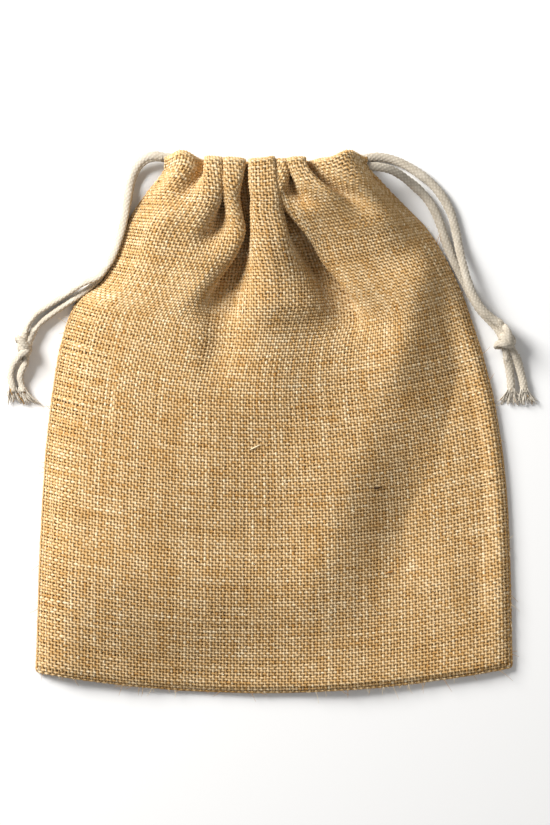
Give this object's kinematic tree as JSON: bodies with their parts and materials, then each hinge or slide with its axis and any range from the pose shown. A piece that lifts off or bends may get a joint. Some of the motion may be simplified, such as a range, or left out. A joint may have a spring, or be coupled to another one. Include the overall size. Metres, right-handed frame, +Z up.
{
  "type": "drawstring gift pouch",
  "caption": "Flat hessian pouch with a gathered mouth and two knotted cotton drawcords, one pulling from each side of the hem.",
  "frame": {"origin": "middle of the cloth pouch's box in X and Y, on the surface the pouch lies on", "axes": "+Z up, out of the table and out of the front panel; +Y up the pouch, from the bottom seam to the mouth; +X across the pouch, to the right as seen from the front"},
  "size_m": [0.3382, 0.3445, 0.031],
  "materials": {
    "hessian": "plain-woven natural jute, coarse and matt, about 12 threads to the inch",
    "sewing_thread": "spun sewing thread close to the cloth's colour",
    "cotton_cord": "soft flat braided unbleached cotton, matt"
  },
  "bodies": {
    "pouch": {"back_panel": "hessian", "front_panel": "hessian", "left_side_seam": "hessian", "right_side_seam": "hessian", "bottom_seam": "hessian", "left_side_thread": "sewing_thread", "right_side_thread": "sewing_thread", "bottom_thread": "sewing_thread", "front_casing": "hessian", "back_casing": "hessian", "front_casing_thread": "sewing_thread", "back_casing_thread": "sewing_thread", "left_cord_front_hem_run": "cotton_cord", "left_cord_back_hem_run": "cotton_cord", "right_cord_front_hem_run": "cotton_cord", "right_cord_back_hem_run": "cotton_cord"},
    "left_mouth_end": {"left_front_ear": "hessian", "left_back_ear": "hessian", "right_cord_bight": "cotton_cord"},
    "right_mouth_end": {"right_front_ear": "hessian", "right_back_ear": "hessian", "left_cord_bight": "cotton_cord"},
    "left_drawcord": {"left_cord_front_draw_run": "cotton_cord", "left_cord_back_draw_run": "cotton_cord", "left_cord_front_leg": "cotton_cord", "left_cord_back_leg": "cotton_cord", "left_knot": "cotton_cord", "left_outer_tail": "cotton_cord", "left_inner_tail": "cotton_cord", "left_outer_fray": "cotton_cord", "left_inner_fray": "cotton_cord"},
    "right_drawcord": {"right_cord_front_draw_run": "cotton_cord", "right_cord_back_draw_run": "cotton_cord", "right_cord_front_leg": "cotton_cord", "right_cord_back_leg": "cotton_cord", "right_knot": "cotton_cord", "right_inner_tail": "cotton_cord", "right_outer_tail": "cotton_cord", "right_inner_fray": "cotton_cord", "right_outer_fray": "cotton_cord"}
  },
  "joints": [
    {"name": "left_mouth_gather", "type": "slide", "parent": "pouch", "child": "left_mouth_end", "axis": [0.9882, -0.1532, 0], "range_m": [0, 0.028], "deforming": ["front_casing", "back_casing", "front_casing_thread", "back_casing_thread", "left_cord_front_hem_run", "left_cord_back_hem_run", "right_cord_front_hem_run", "right_cord_back_hem_run"]},
    {"name": "right_mouth_gather", "type": "slide", "parent": "pouch", "child": "right_mouth_end", "axis": [-0.9882, -0.1532, 0], "range_m": [0, 0.028]},
    {"name": "left_drawcord_pull", "type": "slide", "parent": "left_mouth_end", "child": "left_drawcord", "axis": [-0.9882, 0.1532, 0], "range_m": [0, 0.056]},
    {"name": "right_drawcord_pull", "type": "slide", "parent": "right_mouth_end", "child": "right_drawcord", "axis": [0.9882, 0.1532, 0], "range_m": [0, 0.056]}
  ],
  "couplings": [
    {"joint": "right_mouth_gather", "follows": "left_mouth_gather", "ratio": 1},
    {"joint": "left_drawcord_pull", "follows": "left_mouth_gather", "ratio": 2},
    {"joint": "right_drawcord_pull", "follows": "left_mouth_gather", "ratio": 2}
  ]
}
